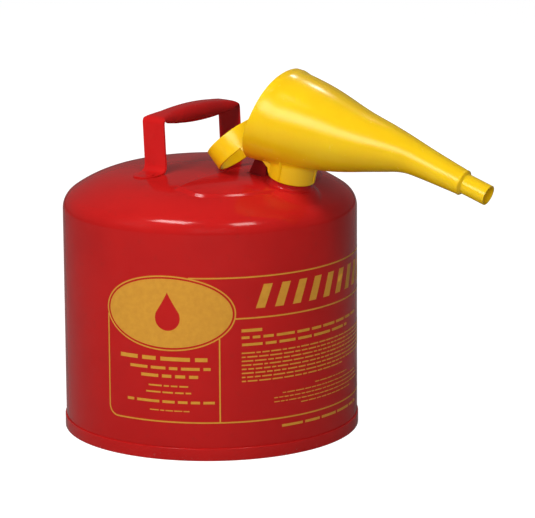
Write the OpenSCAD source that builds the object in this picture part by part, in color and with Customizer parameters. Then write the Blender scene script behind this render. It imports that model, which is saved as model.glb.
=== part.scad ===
// Type I safety can for flammable liquids, 19 litres. A drawn steel tank carries a strap
// handle and a screened spout neck. A spring-closed lid with a thumb lever shuts the neck,
// and a moulded pouring funnel clips round it.
// The tank's axis is Z, it stands on Z = 0, and it pours towards +X. Millimetres.

/* [Tank] */
// Outside diameter of the tank wall
tank_d = 315; // [305:1:330]
// Height of the straight wall
wall_top = 239; // [200:1:260]
// Thickness of the coated steel sheet
sheet_t = 0.7; // [0.6:0.1:1]
// Height of the folded seam round the foot
seam_h = 4.5; // [3:0.5:12]
// How far the folded seam stands out from the wall
seam_out = 1.3; // [1.2:0.1:2]

/* [Handle] */
// Distance over the two legs of the handle
handle_span = 123; // [110:1:130]
// Width of the handle strap
handle_w = 30; // [26:1:34]
// Height of the handle's crown above the floor
handle_top = 349; // [335:1:352]
// Distance from the tank's axis back to the middle of the strap
handle_back = 22; // [18:1:30]
// Backward lean of the handle
handle_lean = 3; // [0:0.5:4]
// Depth of the rolled grip at its middle
grip_depth = 19; // [14:1:22]

/* [Neck and lid] */
// Distance from the tank's axis to the foot of the neck
neck_x = 112.9; // [108:0.1:114]
// Outward tilt of the neck
neck_tilt = 13.5; // [12:0.5:15]
// Outside diameter of the neck
neck_d = 43; // [42:0.5:44]
// Length of the neck above the dome
neck_h = 33; // [31:1:35]
// Length of the flame arrester below the dome
arrester_drop = 62; // [40:1:80]

/* [Funnel] */
// Angle that the funnel is turned to, about the neck
funnel_turn = 9; // [-9:1:9]
// Outside radius of the cone where it meets the nozzle
throat_r = 18; // [17:0.5:19]
// Slope of the cone's wall to its axis
flare = 15.2; // [14:0.1:16]
// Dip of the cone's axis below level
cone_dip = 10; // [8:0.5:11]
// Dip of the nozzle below level
nozzle_dip = 20; // [16:0.5:24]
// Outside radius of the nozzle's tip
tip_r = 10.4; // [9:0.1:11]
// Outside radius of the hoop behind the mouth
hoop_r = 33; // [32:0.5:34]

/* [Hidden] */
$fn = 96;
eps = 0.05;
tank_r = tank_d / 2;
foot_z = 1.2;
seam_r = tank_r + seam_out;
pan_gap = 0.1;
pan_rise = 9;
pan_crown = 3;

// The dome is three arcs in line: knuckle, shoulder and a shallow crown, level at the apex.
knuckle_r = 22;
knuckle_end = 55;
shoulder_r = 128;
shoulder_end = 84;
crown_end = 89;
knuckle_c = [tank_r - knuckle_r, wall_top];
shoulder_c = knuckle_c - (shoulder_r - knuckle_r) * [cos(knuckle_end), sin(knuckle_end)];
crown_r = (shoulder_c[0] + shoulder_r * cos(shoulder_end)) / cos(shoulder_end);
crown_c = [0, shoulder_c[1] + (shoulder_r - crown_r) * sin(shoulder_end)];

// Height of the crown's surface at a distance from the tank's axis
function crown_z(rho) = crown_c[1] + sqrt(crown_r * crown_r - rho * rho);

neck_r = neck_d / 2;
neck_z = 273.7;
neck_wall = 0.8;
neck_bore = neck_r - neck_wall;
lip_r = 1.2;
lip_low = neck_h - 3;
collar_z = 10.3;

// Lid hinge, in the neck's frame
hinge = [-36, 31];
pin_r = 2;
ear_in = 8;
ear_t = 1.4;
arm_w = 14;
arm_t = 1.6;
lid_z = neck_h + 3.4;
lid_r = 24.5;
lid_t = 1;
gasket_t = 1.9;
rivet_r = 2.5;

// Handle strap
strap_t = 1.6;
corner_r = 8;
crown_bend = 197;
foot_len = 27;

// Funnel, in its own frame: Z along the neck, X forward along the spout
throat = [126.7, 81.2];
mouth = [-34.6, 74.2];
mouth_dip = 24;
wall = 2;
flare_len = 70;
bell_r = 440;
bell_end = 2.5;
nozzle_len = 69;
nozzle_r = 12.8;
tip_len = 31;
slot_half = 20;
gap_half = 13;
collar_r = neck_r + 3.5;
collar_bore = neck_r + 0.4;
hoop_at = [-60, 19.5];
hoop_lean = 53.5;
hoop_h = 20;
hoop_wall = 2.4;

function arc(c, r, a0, a1, n = 8) =
    [for (i = [0:n]) let (a = a0 + (a1 - a0) * i / n) c + r * [cos(a), sin(a)]];

function reversed(list) = [for (i = [len(list) - 1:-1:0]) list[i]];

// Outline of the tank from the wall's foot to the apex, moved inwards by inset
function dome_line(inset) = concat(
    arc(knuckle_c, knuckle_r - inset, 0, knuckle_end),
    arc(shoulder_c, shoulder_r - inset, knuckle_end, shoulder_end, 6),
    arc(crown_c, crown_r - inset, shoulder_end, crown_end, 5),
    [[0, crown_c[1] + (crown_r - inset) * sin(crown_end)]]
);

module ring(r_out, r_in, h) {
    difference() {
        cylinder(r = r_out, h = h);
        translate([0, 0, -1]) cylinder(r = r_in, h = h + 2);
    }
}

// Everything inside the tank's outer surface, to trim what stands on the dome
module tank_solid() {
    rotate_extrude()
        polygon(concat([[0, foot_z], [tank_r, foot_z]], dome_line(0)));
}

module neck_frame() {
    translate([neck_x, 0, neck_z]) rotate([0, neck_tilt, 0]) children();
}

module funnel_frame() {
    neck_frame() rotate([0, 0, funnel_turn]) children();
}

// Puts a shape drawn in the neck's X-Z plane upright, thick along Y from y0
module plate(y0, t) {
    translate([0, y0 + t, 0]) rotate([90, 0, 0]) linear_extrude(t) children();
}

// ---- tank ----

module body_shell() {
    color("firebrick")
        difference() {
            rotate_extrude()
                polygon(concat(
                    [[tank_r, foot_z]],
                    dome_line(0),
                    reversed(dome_line(sheet_t)),
                    [[tank_r - sheet_t, foot_z]]
                ));
            neck_frame() translate([0, 0, -20]) cylinder(r = neck_r + 0.2, h = 40);
        }
}

// A recessed panel whose rim folds up round the wall's foot
module bottom_pan() {
    inner = tank_r - sheet_t - pan_gap;
    color("firebrick")
        rotate_extrude()
            polygon([
                [seam_r, 0],
                [seam_r, seam_h],
                [tank_r + pan_gap, seam_h],
                [tank_r + pan_gap, foot_z],
                [inner, foot_z],
                [inner, pan_rise + sheet_t],
                [0, pan_rise + pan_crown + sheet_t],
                [0, pan_rise + pan_crown],
                [inner - sheet_t, pan_rise],
                [inner - sheet_t, 0]
            ]);
}

// ---- handle ----

crown_bend_c = [0, handle_top - crown_bend];
corner_y = handle_span / 2 - corner_r;
corner_up = sqrt(pow(crown_bend - corner_r, 2) - pow(corner_y, 2));
corner_turn = atan2(corner_up, corner_y);

leg_foot = crown_z(norm([handle_back, handle_span / 2])) - 4;

// The strap's line over both legs, moved inwards by inset
function handle_line(inset) = concat(
    [[handle_span / 2 - inset, leg_foot]],
    arc([corner_y, crown_bend_c[1] + corner_up], corner_r - inset, 0, corner_turn),
    arc(crown_bend_c, crown_bend - inset, corner_turn, 180 - corner_turn),
    arc([-corner_y, crown_bend_c[1] + corner_up], corner_r - inset, 180 - corner_turn, 180),
    [[inset - handle_span / 2, leg_foot]]
);

// The rolled edges of the grip hang below the strap between the corners
module grip_skirt_outline() {
    half = corner_y + 3;
    low = handle_top - grip_depth;
    sag_r = 420;
    intersection() {
        polygon(concat(
            arc(crown_bend_c, crown_bend - strap_t / 2, corner_turn + 1, 179 - corner_turn),
            [[-half, low + 9], [-half + 8, low - 5], [half - 8, low - 5], [half, low + 9]]
        ));
        translate([0, low + sag_r]) circle(r = sag_r);
    }
}

// Puts a shape drawn in the Y-Z plane upright, thick along X from x0
module across(x0, t) {
    translate([x0, 0, 0]) rotate([90, 0, 90]) linear_extrude(t) children();
}

module handle_foot(side) {
    tilt = asin((handle_span / 2 + foot_len / 2) / crown_r);
    reach = handle_span / 2 - strap_t / 2;
    foot_r = handle_w / 2 + 0.5;
    straight = foot_len - foot_r;
    translate([-handle_back, side * reach, crown_z(norm([handle_back, reach]))])
        rotate([-side * tilt, 0, 0])
            translate([0, 0, -2])
                linear_extrude(2 + strap_t)
                    union() {
                        translate([0, side * straight]) circle(r = foot_r);
                        translate([-foot_r, side > 0 ? 0 : -straight])
                            square([2 * foot_r, straight]);
                    }
}

// One strap: two legs, a crowned grip with rolled edges, and a foot turned out at each leg
module handle() {
    color("crimson")
        difference() {
            union() {
                translate([-handle_back, 0, leg_foot])
                    rotate([0, -handle_lean, 0])
                        translate([0, 0, -leg_foot]) {
                            across(-handle_w / 2, handle_w)
                                polygon(concat(handle_line(0), reversed(handle_line(strap_t))));
                            for (x = [-handle_w / 2, handle_w / 2 - strap_t])
                                across(x, strap_t) grip_skirt_outline();
                        }
                for (side = [-1, 1])
                    handle_foot(side);
            }
            tank_solid();
        }
}

// ---- neck and flame arrester ----

module spout_neck() {
    flange_r = 27;
    bead_z = 8.2;
    color("firebrick")
        union() {
            difference() {
                neck_frame() translate([0, 0, -7]) ring(flange_r, neck_bore, 9.5);
                tank_solid();
            }
            neck_frame()
                difference() {
                    union() {
                        translate([0, 0, -5]) cylinder(r = neck_r, h = neck_h + 5);
                        translate([0, 0, neck_h])
                            rotate_extrude() translate([neck_r, 0]) circle(r = lip_r, $fn = 24);
                        translate([0, 0, bead_z])
                            rotate_extrude() translate([neck_r, 0]) circle(r = 1, $fn = 24);
                    }
                    translate([0, 0, -6]) cylinder(r = neck_bore, h = neck_h + 10);
                }
        }
}

screen_top = neck_h - 5;
screen_t = 0.5;
outer_screen_r = 17.6;
inner_screen_r = 15.6;

module arrester_ring() {
    color("silver")
        neck_frame()
            translate([0, 0, screen_top]) ring(neck_bore - 0.1, inner_screen_r - screen_t, 1.5);
}

module screen(r) {
    color("gray")
        neck_frame()
            translate([0, 0, -arrester_drop]) ring(r, r - screen_t, arrester_drop + screen_top);
}

module arrester_outer_screen() {
    screen(outer_screen_r);
}

module arrester_inner_screen() {
    screen(inner_screen_r);
}

module arrester_cap() {
    color("silver")
        neck_frame()
            translate([0, 0, -arrester_drop - 1.2]) cylinder(r = outer_screen_r + 0.4, h = 1.2);
}

// ---- lid hinge ----

module ear_outline(foot_half, top_r) {
    polygon([
        [hinge[0] - foot_half - 2, -9],
        [hinge[0] + foot_half - 3.5, -9],
        [hinge[0] + top_r, hinge[1]],
        [hinge[0] - top_r, hinge[1]]
    ]);
    translate(hinge) circle(r = top_r);
}

module pin_line(r, y0, y1) {
    translate([hinge[0], y1, hinge[1]]) rotate([90, 0, 0]) cylinder(r = r, h = y1 - y0);
}

// A U-shaped bracket welded to the dome behind the neck, with an ear at each side
module hinge_bracket() {
    base_half = 15;
    color("darkred")
        difference() {
            neck_frame()
                difference() {
                    union() {
                        plate(ear_in, ear_t) ear_outline(12, 5.5);
                        plate(-ear_in - ear_t, ear_t) ear_outline(12, 5.5);
                        plate(-base_half, 2 * base_half)
                            polygon([[-50, -9], [-27.5, -9], [-27.5, 2.2], [-50, -0.6]]);
                    }
                    pin_line(pin_r + eps, -base_half, base_half);
                }
            tank_solid();
        }
}

pin_half = 11.4;

module hinge_pin() {
    color("silver") neck_frame() pin_line(pin_r, -pin_half, pin_half);
}

// A push-on clip at each end of the pin
module pin_clips() {
    clip_t = 1;
    inner = ear_in + ear_t + 0.3;
    color("gray")
        neck_frame()
            for (y0 = [-inner - clip_t, inner])
                difference() {
                    pin_line(4.2, y0, y0 + clip_t);
                    pin_line(pin_r + eps, y0 - 1, y0 + clip_t + 1);
                }
}

// ---- lid ----

module lid_disc() {
    color("firebrick")
        neck_frame()
            translate([0, 0, lid_z])
                difference() {
                    union() {
                        cylinder(r = lid_r, h = lid_t);
                        translate([0, 0, -gasket_t]) ring(lid_r, lid_r - 0.8, gasket_t);
                    }
                    translate([0, 0, -1]) cylinder(r = rivet_r + eps, h = 4);
                }
}

module lid_gasket() {
    color("dimgray")
        neck_frame()
            translate([0, 0, lid_z - gasket_t]) ring(lid_r - 0.9, 16, gasket_t);
}

module gasket_plate() {
    plate_t = 1;
    color("silver")
        neck_frame()
            translate([0, 0, lid_z - gasket_t - plate_t])
                difference() {
                    union() {
                        cylinder(r = 18.5, h = plate_t);
                        cylinder(r = 15.8, h = plate_t + gasket_t);
                    }
                    translate([0, 0, -1]) cylinder(r = rivet_r + eps, h = plate_t + gasket_t + 2);
                }
}

module lid_rivet() {
    head_r = 5;
    head_h = 1.4;
    low = lid_z - gasket_t - 1;
    high = lid_z + lid_t + arm_t;
    color("silver")
        neck_frame() {
            translate([0, 0, low - head_h]) cylinder(r = head_r, h = head_h);
            translate([0, 0, low - eps]) cylinder(r = rivet_r, h = high - low + 2 * eps);
            translate([0, 0, high]) cylinder(r1 = head_r, r2 = head_r - 1.2, h = head_h);
        }
}

// A strap over the lid with a knuckle plate down each side at the pin and a thumb lever behind
module lid_arm() {
    arm_z = lid_z + lid_t;
    lever_end = -68;
    knuckle_in = arm_w / 2 - arm_t;
    color("firebrick")
        neck_frame()
            difference() {
                union() {
                    translate([hinge[0] - 4, -arm_w / 2, arm_z])
                        cube([16 - hinge[0], arm_w, arm_t]);
                    translate([12, 0, arm_z]) cylinder(r = arm_w / 2, h = arm_t);
                    for (y0 = [-arm_w / 2, knuckle_in])
                        plate(y0, arm_t)
                            union() {
                                translate(hinge) circle(r = 4.6);
                                translate([hinge[0] - 4.6, hinge[1]])
                                    square([9.2, arm_z + arm_t / 2 - hinge[1]]);
                            }
                    plate(-arm_w / 2, arm_w)
                        polygon([
                            [hinge[0] - 3, arm_z],
                            [hinge[0] - 3, arm_z + arm_t],
                            [lever_end, arm_z - 2],
                            [lever_end - 3, arm_z + 1],
                            [lever_end - 4, arm_z],
                            [lever_end, arm_z - 2 - arm_t]
                        ]);
                }
                pin_line(pin_r + eps, -arm_w, arm_w);
                translate([0, 0, arm_z - 1]) cylinder(r = rivet_r + eps, h = 4);
            }
}

// A torsion spring on the pin: close coils, a leg under the lever and a leg into the bracket
module lid_spring() {
    wire_r = 0.8;
    coil_r = 4.4;
    coils = 6;
    color("gainsboro")
        neck_frame()
            translate([hinge[0], 0, hinge[1]]) {
                for (i = [0:coils - 1])
                    translate([0, (i - (coils - 1) / 2) * 2 * wire_r * 0.98, 0])
                        rotate([90, 0, 0])
                            rotate_extrude() translate([coil_r, 0]) circle(r = wire_r, $fn = 24);
                translate([0, -coils * wire_r + 1, coil_r])
                    rotate([0, -90, 0]) cylinder(r = wire_r, h = 9, $fn = 24);
                translate([coil_r, coils * wire_r - 1, 0])
                    rotate([0, 180, 0]) cylinder(r = wire_r, h = 12, $fn = 24);
            }
}

// ---- funnel ----

// Radius of the cone against the distance back from the throat: a straight flare, then a bell
function cone_line(inset) = concat(
    [[throat_r - inset, 0]],
    [for (p = arc([0, 0], bell_r, flare, bell_end))
        [throat_r - inset + flare_len * tan(flare) + p[0] - bell_r * cos(flare),
         flare_len + bell_r * sin(flare) - p[1]]],
    [[throat_r - inset + flare_len * tan(flare) + bell_r * (cos(bell_end) - cos(flare)) + 0.5,
      flare_len + bell_r * (sin(flare) - sin(bell_end)) + 20]]
);

module along_cone() {
    translate([throat[0], 0, throat[1]])
        rotate([0, cone_dip - neck_tilt - 90, 0]) children();
}

module along_nozzle() {
    translate([throat[0], 0, throat[1]])
        rotate([0, nozzle_dip - neck_tilt + 90, 0]) children();
}

module cone_solid(inset) {
    line = cone_line(inset);
    along_cone()
        rotate_extrude()
            polygon(concat([[0, 0]], line, [[0, line[len(line) - 1][1]]]));
}

module behind_mouth() {
    translate([mouth[0], 0, mouth[1]])
        rotate([0, mouth_dip - neck_tilt, 0])
            translate([-120, -100, -100]) cube([120, 200, 200]);
}

module hoop_frame() {
    translate([hoop_at[0], 0, hoop_at[1]]) rotate([0, -hoop_lean, 0]) children();
}

// The cone, open behind, with a slot in its floor for the lid's hinge
module funnel_cone() {
    color("gold")
        funnel_frame()
            difference() {
                cone_solid(0);
                cone_solid(wall);
                along_cone()
                    translate([0, 0, -1]) cylinder(r = throat_r - wall, h = 2);
                behind_mouth();
                cylinder(r = collar_bore, h = 50);
                translate([0, 0, lip_low]) cylinder(r = neck_r + lip_r + 0.5, h = 20);
                translate([-120, -slot_half, 0]) cube([120 - collar_r, 2 * slot_half, 50]);
                translate([-collar_r - 5, -gap_half, 0]) cube([collar_r, 2 * gap_half, 50]);
            }
}

// The tapered nozzle and its thinner tip, cut on the slant where they join the cone
module funnel_nozzle() {
    tip_wall = 1.6;
    back = 6;
    color("gold")
        funnel_frame()
            difference() {
                along_nozzle()
                    rotate_extrude()
                        polygon([
                            [throat_r, -back],
                            [throat_r, 0],
                            [nozzle_r, nozzle_len],
                            [tip_r, nozzle_len],
                            [tip_r, nozzle_len + tip_len],
                            [tip_r - tip_wall, nozzle_len + tip_len],
                            [tip_r - tip_wall, nozzle_len - wall],
                            [throat_r - wall, 0],
                            [throat_r - wall, -back]
                        ]);
                along_cone() cylinder(r = 2 * throat_r, h = 2 * throat_r);
            }
}

// A ribbed collar open behind, which clips round the neck under the cone's floor
module funnel_collar() {
    rib_w = 2;
    color("gold")
        funnel_frame()
            difference() {
                union() {
                    translate([0, 0, collar_z]) cylinder(r = collar_r, h = 24);
                    for (a = [-120:60:120])
                        rotate([0, 0, a])
                            translate([0, -rib_w / 2, collar_z + 1])
                                cube([collar_r + 1, rib_w, 22]);
                }
                translate([0, 0, collar_z - 1]) cylinder(r = collar_bore, h = 60);
                cone_solid(0);
                translate([-2 * collar_r, -gap_half, 0]) cube([2 * collar_r, 2 * gap_half, 60]);
                translate([-60, -60, collar_z + 22]) cube([120, 120, 60]);
            }
}

// A hoop behind the mouth, which guards the lid's lever. Two ears tie it to the cone's floor
module funnel_hoop() {
    ear_len = 19;
    ear_low = 16;
    ear_high = 23;
    color("gold")
        funnel_frame()
            union() {
                hoop_frame() ring(hoop_r, hoop_r - hoop_wall, hoop_h);
                intersection() {
                    hoop_frame() translate([0, 0, -ear_len]) ring(hoop_r, hoop_r - hoop_wall, ear_len + 1);
                    hoop_frame()
                        translate([ear_low, -hoop_r, -ear_len])
                            cube([ear_high - ear_low, 2 * hoop_r, ear_len + 1]);
                    union() {
                        cone_solid(wall);
                        behind_mouth();
                    }
                }
            }
}

body_shell();
bottom_pan();
handle();
spout_neck();
arrester_ring();
arrester_inner_screen();
arrester_outer_screen();
arrester_cap();
hinge_bracket();
hinge_pin();
pin_clips();
lid_disc();
lid_gasket();
gasket_plate();
lid_rivet();
lid_arm();
lid_spring();
funnel_cone();
funnel_nozzle();
funnel_collar();
funnel_hoop();
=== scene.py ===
"""The looks of a round safety can with a strap handle and a clip-on pouring funnel.

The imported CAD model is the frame. Pieces are drawn in millimetres in the row frame and are
turned into metres as their meshes are made. +X is the way the can pours, +Z is up.
"""

import itertools
import math
import random

import bmesh
import bpy
import numpy as np
from mathutils import Matrix, Vector


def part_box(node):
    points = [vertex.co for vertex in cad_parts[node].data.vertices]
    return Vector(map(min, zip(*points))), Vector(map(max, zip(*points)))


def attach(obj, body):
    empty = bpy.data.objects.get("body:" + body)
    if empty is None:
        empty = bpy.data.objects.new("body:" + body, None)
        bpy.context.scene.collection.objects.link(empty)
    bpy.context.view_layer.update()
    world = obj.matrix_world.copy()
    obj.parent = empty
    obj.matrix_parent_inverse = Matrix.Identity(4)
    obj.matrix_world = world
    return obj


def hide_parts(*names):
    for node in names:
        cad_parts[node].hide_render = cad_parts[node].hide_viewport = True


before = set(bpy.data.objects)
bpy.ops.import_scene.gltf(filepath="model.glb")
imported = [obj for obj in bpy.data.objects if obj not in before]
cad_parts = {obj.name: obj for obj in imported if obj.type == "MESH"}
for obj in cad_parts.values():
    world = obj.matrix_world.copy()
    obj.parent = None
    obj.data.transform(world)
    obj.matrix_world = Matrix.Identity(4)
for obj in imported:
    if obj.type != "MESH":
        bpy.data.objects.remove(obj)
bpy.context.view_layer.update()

MM = 0.001
TURN = 2 * math.pi


def high_corner(node):
    """The high corner of a CAD node's box, in millimetres."""
    return Vector(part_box(node)[1]) / MM


# ---- the can's main sizes, mm

INSIDE = 0.06  # how far the outermost shapes stay inside the CAD's box
TANK_R = high_corner("body_shell").x
SEAM_R = high_corner("bottom_pan").x - INSIDE
SEAM_TOP = high_corner("bottom_pan").z
SHEET = 0.7
WALL_TOP = 239.0
KNUCKLE_R = 22.0
KNUCKLE_END = math.radians(55)
SHOULDER_R = 128.0
SHOULDER_END = math.radians(84)

NECK_X = 112.9
NECK_Z = 273.7
NECK_TILT = math.radians(13.5)
NECK_R = 21.5
FUNNEL_TURN = math.radians(9)

NECK_FRAME = Matrix.Translation((NECK_X, 0, NECK_Z)) @ Matrix.Rotation(NECK_TILT, 4, "Y")
FUNNEL_FRAME = NECK_FRAME @ Matrix.Rotation(FUNNEL_TURN, 4, "Z")

HINGE = Vector((-36, 0, 31))  # the lid's pin, in the neck's frame

# ---- mesh helpers


def make_object(name, points, faces, place=None):
    """A mesh object from points in millimetres, moved by a matrix first."""
    if place is not None:
        points = [place @ Vector(p) for p in points]
    mesh = bpy.data.meshes.new(name)
    mesh.from_pydata([[MM * c for c in p] for p in points], [], faces)
    obj = bpy.data.objects.new(name, mesh)
    bpy.context.scene.collection.objects.link(obj)
    return obj


def grid_faces(rows, columns, wrap_rows=False):
    """Quads over a grid of points that are numbered row by row. Each row is a closed ring."""
    faces = []
    for i in range(rows if wrap_rows else rows - 1):
        for j in range(columns):
            a, b = i * columns, (i + 1) % rows * columns
            k = (j + 1) % columns
            faces.append((a + j, a + k, b + k, b + j))
    return faces


def grid_object(name, rows, place=None, wrap_rows=False):
    """A closed surface through rings of points, capped at both ends unless the rows wrap."""
    count = len(rows[0])
    points = [p for row in rows for p in row]
    faces = grid_faces(len(rows), count, wrap_rows)
    if not wrap_rows:
        last = (len(rows) - 1) * count
        faces.append(tuple(range(count)))
        faces.append(tuple(last + j for j in range(count)))
    return face_outwards(make_object(name, points, faces, place))


def face_outwards(obj, merge=0.0):
    """Turns every face of a closed mesh outwards, once points within merge metres are one."""
    work = bmesh.new()
    work.from_mesh(obj.data)
    if merge:
        bmesh.ops.remove_doubles(work, verts=work.verts, dist=merge)
    bmesh.ops.recalc_face_normals(work, faces=work.faces)
    work.to_mesh(obj.data)
    work.free()
    return obj


def lathe(name, outline, place=None, start=0.0, sweep=TURN, steps=128):
    """A closed outline of (radius, height) points, turned about the Z axis."""
    whole = abs(sweep - TURN) < 1e-6
    rows = []
    for i in range(steps if whole else steps + 1):
        angle = start + sweep * i / steps
        c, s = math.cos(angle), math.sin(angle)
        rows.append([(r * c, r * s, z) for r, z in outline])
    return grid_object(name, rows, place, wrap_rows=whole)


def arc(centre, radius, first, last, steps):
    """Points along an arc, with its angles in degrees."""
    points = []
    for i in range(steps + 1):
        a = math.radians(first + (last - first) * i / steps)
        points.append((centre[0] + radius * math.cos(a), centre[1] + radius * math.sin(a)))
    return points


def rounded(points, radius, steps=4):
    """An outline whose every corner is rounded, never by more than a third of a side."""
    result = []
    count = len(points)
    for i, here in enumerate(points):
        here = Vector(here)
        before, after = Vector(points[i - 1]) - here, Vector(points[(i + 1) % count]) - here
        back = min(radius, before.length / 3, after.length / 3)
        a, b = here + before.normalized() * back, here + after.normalized() * back
        for k in range(steps + 1):
            t = k / steps
            result.append(tuple(a * (1 - t) ** 2 + here * 2 * t * (1 - t) + b * t * t))
    return result


def direction_at(points, i):
    """Unit direction of a line of points at one of them."""
    return (points[min(i + 1, len(points) - 1)] - points[max(i - 1, 0)]).normalized()


def turn_steps(count):
    """Angles of equal steps round a whole turn."""
    return [TURN * k / count for k in range(count)]


def changed(obj, kind, **settings):
    """Adds a modifier and applies it at once."""
    modifier = obj.modifiers.new(kind.title(), kind)
    for key, value in settings.items():
        setattr(modifier, key, value)
    graph = bpy.context.evaluated_depsgraph_get()
    mesh = bpy.data.meshes.new_from_object(obj.evaluated_get(graph))
    obj.modifiers.clear()
    obj.data = mesh


def cut(obj, *cutters, operation="DIFFERENCE"):
    """A boolean with each cutter in turn. The cutters are removed."""
    for cutter in cutters:
        changed(obj, "BOOLEAN", operation=operation, object=cutter, solver="EXACT")
        bpy.data.objects.remove(cutter)
    return obj


def crisp(obj, degrees=35):
    """Smooth shading, but sharp where faces meet at more than this angle."""
    obj.data.polygons.foreach_set("use_smooth", [True] * len(obj.data.polygons))
    obj.data.set_sharp_from_angle(angle=math.radians(degrees))
    return obj


def softened(obj, width, degrees):
    """Small rounded edges wherever faces meet at more than this angle."""
    changed(obj, "BEVEL", width=width * MM, segments=2, limit_method="ANGLE",
            angle_limit=math.radians(degrees))
    return crisp(obj)


def box_object(name, low, high, place):
    """A box between two corners."""
    points = list(itertools.product(*zip(low, high)))
    faces = [(0, 1, 3, 2), (4, 6, 7, 5), (0, 4, 5, 1), (2, 3, 7, 6), (0, 2, 6, 4), (1, 5, 7, 3)]
    return face_outwards(make_object(name, points, faces, place))


def extruded(name, outline, low, high, place):
    """An outline drawn in the X-Z plane, made thick along Y."""
    rows = [[(x, y, z) for x, z in outline] for y in (low, high)]
    return grid_object(name, rows, place)


def joined(name, *objects):
    """One object from several."""
    first, chosen = objects[0], list(objects)
    with bpy.context.temp_override(active_object=first, object=first, selected_objects=chosen,
                                   selected_editable_objects=chosen):
        bpy.ops.object.join()
    first.name = name
    return first


def finish_piece(obj, body, material, slot, *replaced):
    """Gives a piece its material and its body, and hides the CAD nodes it stands for. Its slot is
    not used.
    """
    obj.data.materials.clear()
    obj.data.materials.append(material)
    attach(obj, body)
    if replaced:
        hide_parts(*replaced)
    return obj


# ---- material helpers


class Surface:
    """A procedural material that is laid out in the row frame, in metres."""

    def __init__(self, name, **values):
        self.material = bpy.data.materials.new(name)
        self.material.use_nodes = True
        self.nodes = self.material.node_tree.nodes
        self.links = self.material.node_tree.links
        self.shader = self.nodes["Principled BSDF"]
        self.place = self.nodes.new("ShaderNodeTexCoord").outputs["Object"]
        for key, value in values.items():
            title = key.replace("_", " ").title().replace("Ior", "IOR")
            self.shader.inputs[title].default_value = value

    def node(self, kind, values=None, **settings):
        made = self.nodes.new("ShaderNode" + kind)
        for key, value in settings.items():
            setattr(made, key, value)
        for key, value in (values or {}).items():
            if isinstance(value, bpy.types.NodeSocket):
                self.links.new(value, made.inputs[key])
            else:
                made.inputs[key].default_value = value
        return made

    def noise(self, size, detail, roughness=0.5, stretch=(1, 1, 1)):
        """Noise whose features are about this many millimetres across."""
        place = self.node("Mapping", {"Vector": self.place, "Scale": stretch}).outputs["Vector"]
        values = {"Vector": place, "Scale": 1 / (size * MM), "Detail": detail}
        values["Roughness"] = roughness
        return self.node("TexNoise", values).outputs["Fac"]

    def cells(self, size):
        """Distance to the nearest of many scattered points."""
        values = {"Vector": self.place, "Scale": 1 / (size * MM)}
        return self.node("TexVoronoi", values).outputs["Distance"]

    def wave(self, size, direction):
        """Parallel bands across one axis, one band to each size in millimetres."""
        values = {"Vector": self.place, "Scale": TURN / 20 / (size * MM)}
        return self.node("TexWave", values, bands_direction=direction).outputs["Fac"]

    def math(self, operation, a, b):
        return self.node("Math", {0: a, 1: b}, operation=operation).outputs[0]

    def between(self, value, low, high, to_low=0.0, to_high=1.0):
        """Spreads a value's range from low to high over another range."""
        values = {"Value": value, "From Min": low, "From Max": high, "To Min": to_low}
        values["To Max"] = to_high
        return self.node("MapRange", values, clamp=True).outputs["Result"]

    def mix(self, share, a, b):
        """From colour a to colour b by the share."""
        made = self.node("Mix", data_type="RGBA")
        for socket, value in ((0, share), (6, a), (7, b)):
            if isinstance(value, bpy.types.NodeSocket):
                self.links.new(value, made.inputs[socket])
            else:
                made.inputs[socket].default_value = (*value, 1) if socket else value
        return made.outputs[2]

    def height(self):
        """The point's height, in metres."""
        return self.node("SeparateXYZ", {"Vector": self.place}).outputs["Z"]

    def set(self, key, value):
        self.links.new(value, self.shader.inputs[key])

    def tint(self, share, a, b):
        """Base colour, from a to b by the share."""
        self.set("Base Color", self.mix(share, a, b))

    def gloss(self, low, high, size, detail, roughness=0.5):
        """Roughness that wanders from low to high in patches of about this size."""
        patches = self.noise(size, detail, roughness)
        self.set("Roughness", self.between(patches, 0.3, 0.7, low, high))

    def bump(self, *layers):
        """Relief from (height, depth in millimetres) layers, one on top of the other."""
        normal = None
        for height, depth in layers:
            values = {"Height": height, "Distance": depth * MM}
            if normal is not None:
                values["Normal"] = normal
            normal = self.node("Bump", values).outputs["Normal"]
        self.set("Normal", normal)


def enamel(name, colour, shade, roughness):
    """Sprayed and baked gloss enamel over steel: orange peel, dust nibs and chips at the foot."""
    look = Surface(name, ior=1.46, specular_ior_level=0.3)
    tone = look.between(look.noise(55, 2), 0.35, 0.7)
    paint = look.mix(tone, colour, shade)
    grime = look.between(look.noise(9, 5, 0.65), 0.58, 0.8, 0, 0.25)
    paint = look.mix(grime, paint, (0.19, 0.02, 0.014))
    low = look.between(look.height(), 0.0005, 0.009, 1, 0)
    chips = look.math("MULTIPLY", low, look.between(look.noise(2.6, 6, 0.7), 0.63, 0.67))
    look.tint(chips, paint, (0.2, 0.17, 0.16))
    scuffs = look.between(look.noise(14, 6, 0.7, (1, 1, 0.3)), 0.45, 0.75, 0, 0.07)
    patches = look.between(look.noise(80, 2), 0.3, 0.7, roughness, roughness + 0.04)
    look.set("Roughness", look.math("ADD", patches, scuffs))
    waves, peel = look.noise(24, 1), look.noise(3.2, 2)
    nibs = look.between(look.cells(6), 0.0, 0.06, 1, 0)
    look.bump((waves, 0.10), (peel, 0.018), (nibs, 0.012), (chips, -0.05))
    return look.material


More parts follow.
